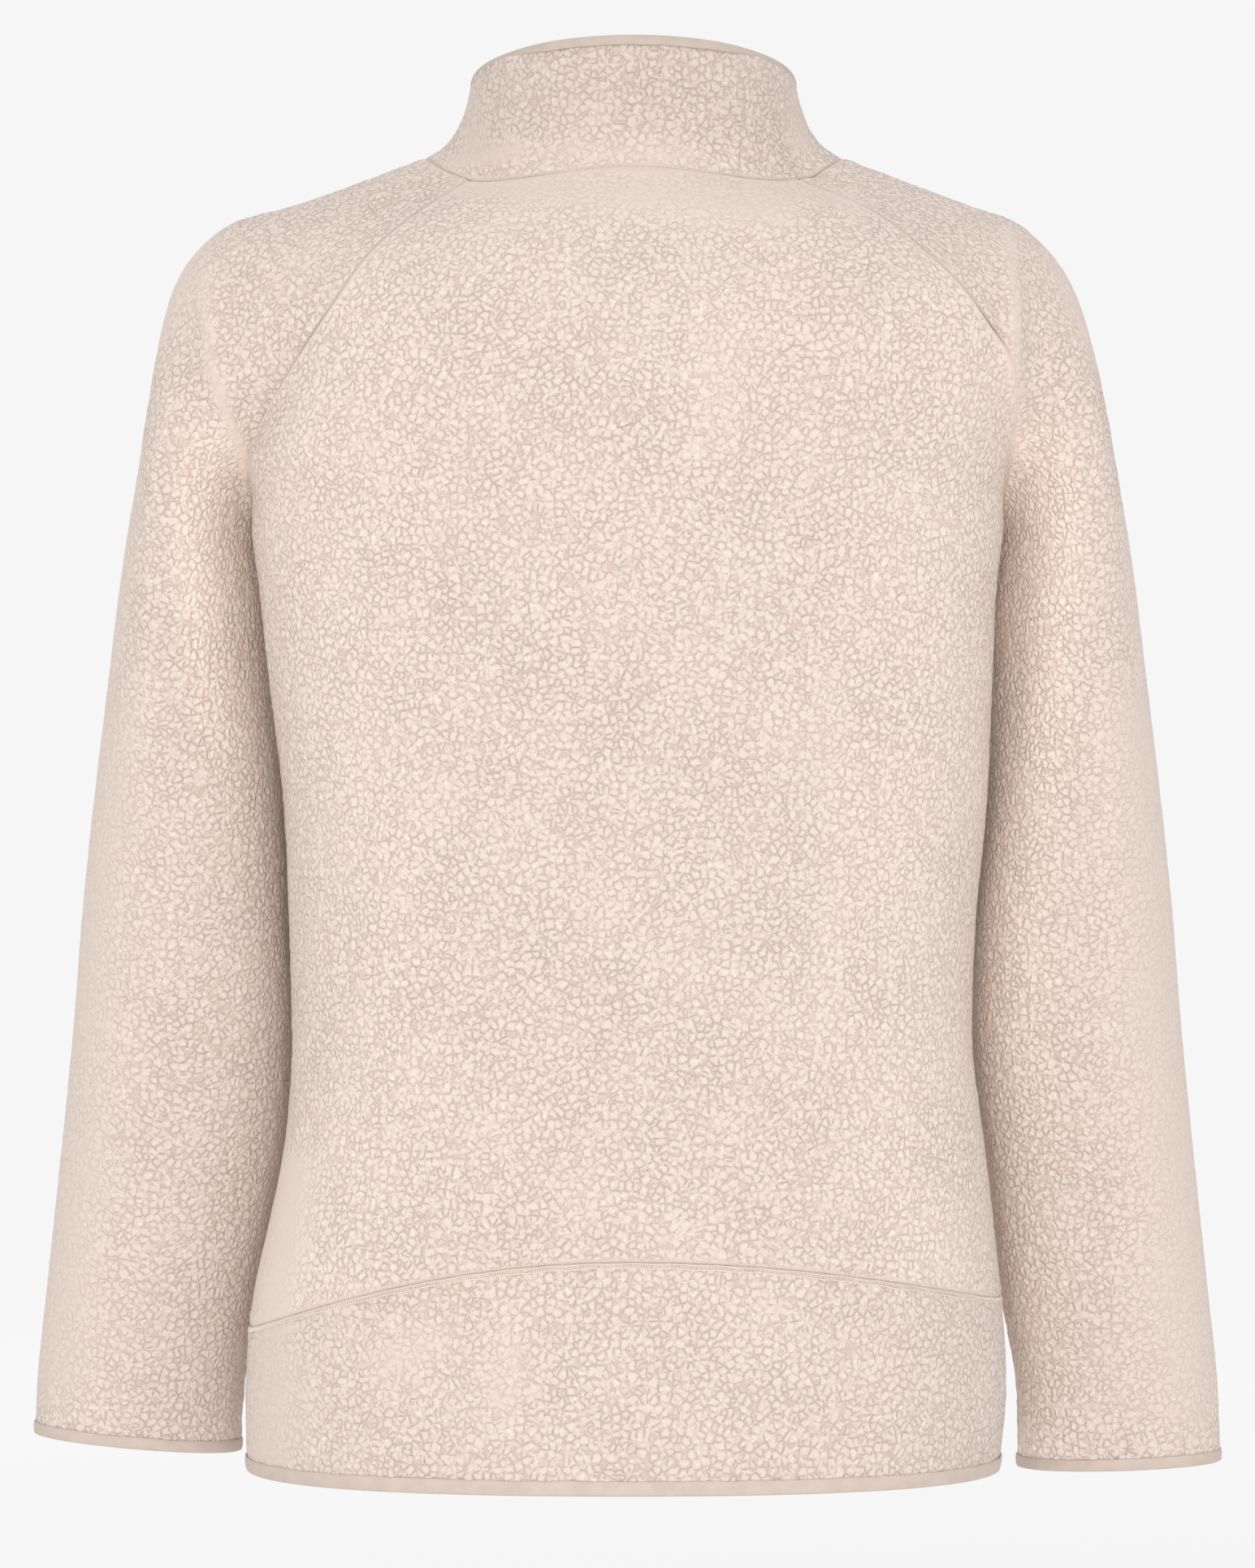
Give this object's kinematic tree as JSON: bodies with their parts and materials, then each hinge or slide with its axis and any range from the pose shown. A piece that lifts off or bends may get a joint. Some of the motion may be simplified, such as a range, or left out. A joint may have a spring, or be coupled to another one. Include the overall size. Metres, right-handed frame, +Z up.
{
  "type": "sherpa jacket",
  "caption": "Pile-fleece jacket, filled out as if worn, with raglan sleeves, stand collar, zip front, curved low back seam and bound edges.",
  "frame": {"origin": "middle of the neck base, level with the top of the shoulders, where the wearer's shoulders carry the jacket", "axes": "+X towards the wearer's left, -Y out of the front, +Z up"},
  "size_m": [0.5979, 0.2617, 0.7081],
  "materials": {
    "fleece": "deep curly pile, matte, warm pale beige",
    "binding": "soft smooth knit tape, matte, pale beige",
    "zip_tape": "woven tape, matte, pale beige",
    "zip_plastic": "satin coil, pale beige",
    "zip_metal": "satin, pale beige"
  },
  "bodies": {
    "jacket": {"back_panel": "fleece", "lower_back_panel": "fleece", "front_left": "fleece", "front_right": "fleece", "sleeve_left": "fleece", "sleeve_right": "fleece", "collar": "fleece", "collar_binding": "binding", "cuff_binding_left": "binding", "cuff_binding_right": "binding", "hem_binding": "binding", "zip_tape_left": "zip_tape", "zip_tape_right": "zip_tape", "zip_chain": "zip_plastic", "zip_bottom_box": "zip_metal", "zip_slider": "zip_metal"},
    "pull_tab": {"zip_pull_tab": "zip_metal"}
  },
  "joints": [
    {"name": "pull_tab_hinge", "type": "hinge", "parent": "jacket", "child": "pull_tab", "pos_m": [-0.003, -0.08535, 0.00814], "axis": [-1, 0, 0], "range_deg": [0, 150]}
  ]
}
